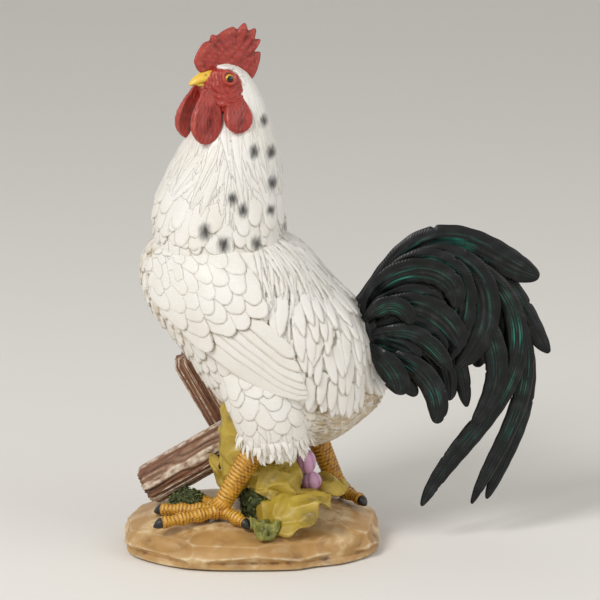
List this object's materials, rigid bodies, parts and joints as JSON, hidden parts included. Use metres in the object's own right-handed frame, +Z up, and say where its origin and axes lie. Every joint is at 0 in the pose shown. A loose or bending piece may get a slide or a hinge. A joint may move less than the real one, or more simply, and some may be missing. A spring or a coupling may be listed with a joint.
{
  "type": "rooster sculpture",
  "caption": "Standing rooster figurine on a stone base, head turned, with a drooping tail of separate feathers, among leaves, buds and weathered rails.",
  "frame": {"origin": "centre of the felt underside of the stone base, on the surface that the figurine stands on", "axes": "+Z up; the bird faces -X with its left side towards -Y, and its tail trails towards +X"},
  "size_m": [0.3268, 0.1492, 0.4016],
  "materials": {
    "felt": "pressed wool felt, glued to the underside",
    "stone": "cold-cast resin and stone powder, hand painted sandy tan with a brown wash",
    "steel": "mild steel wire rod, plain",
    "legs": "cold-cast polyresin, hand painted ochre with a brown wash, satin",
    "feathers": "cold-cast polyresin, hand painted off-white with a beige wash, satin",
    "eyes": "painted yellow iris and black pupil under clear varnish",
    "beak": "cold-cast polyresin, hand painted yellow, satin",
    "comb_red": "cold-cast polyresin, hand painted red with a dark wash, satin",
    "tail_black": "cold-cast polyresin, hand painted black with green pearl along the quills, semi-gloss",
    "rails": "cold-cast polyresin, painted brown and dry-brushed white",
    "leaves": "cold-cast polyresin, hand painted olive yellow with a brown wash, satin",
    "sprig": "cold-cast polyresin, hand painted green",
    "moss": "cold-cast polyresin, rough stippled and painted dark green",
    "buds": "cold-cast polyresin, hand painted mauve, satin"
  },
  "bodies": {
    "root": {"base_felt": "felt", "base_stone": "stone", "beak_lower": "beak", "beak_upper": "beak", "broad_leaf": "leaves", "comb": "comb_red", "ear_lobe_left": "comb_red", "ear_lobe_right": "comb_red", "eye_left": "eyes", "eye_right": "eyes", "face": "comb_red", "folded_leaf": "leaves", "front_leaf": "leaves", "front_sprig": "sprig", "left_moss": "moss", "leg_left": "legs", "leg_right": "legs", "leg_rod_left": "steel", "leg_rod_right": "steel", "low_leaf": "leaves", "lower_bud": "buds", "middle_moss": "moss", "neck_hackle": "feathers", "rail_lying": "rails", "rail_upright": "rails", "rear_leaf": "leaves", "saddle": "feathers", "tail_boss": "tail_black", "tail_left_bright_sickle": "tail_black", "tail_left_centre_drape": "tail_black", "tail_left_curl": "tail_black", "tail_left_green_drape": "tail_black", "tail_left_inner_arch": "tail_black", "tail_left_inner_hang": "tail_black", "tail_left_lower_block": "tail_black", "tail_left_lower_drape": "tail_black", "tail_left_lower_tuft": "tail_black", "tail_left_middle_arch": "tail_black", "tail_left_upper_drape": "tail_black", "tail_pin": "steel", "tail_right_centre_drape": "tail_black", "tail_right_lower_block": "tail_black", "tail_right_lower_drape": "tail_black", "tail_right_middle_arch": "tail_black", "tail_right_upper_drape": "tail_black", "tail_sickle_long": "tail_black", "tail_sickle_rear": "tail_black", "tail_sickle_rear_under": "tail_black", "tail_sickle_second": "tail_black", "tail_sickle_third": "tail_black", "tail_sickle_top": "tail_black", "thigh_left": "feathers", "thigh_right": "feathers", "trunk": "feathers", "upper_bud": "buds", "upright_leaf": "leaves", "wattle_left": "comb_red", "wattle_right": "comb_red", "wing_left": "feathers", "wing_right": "feathers"}
  },
  "joints": []
}
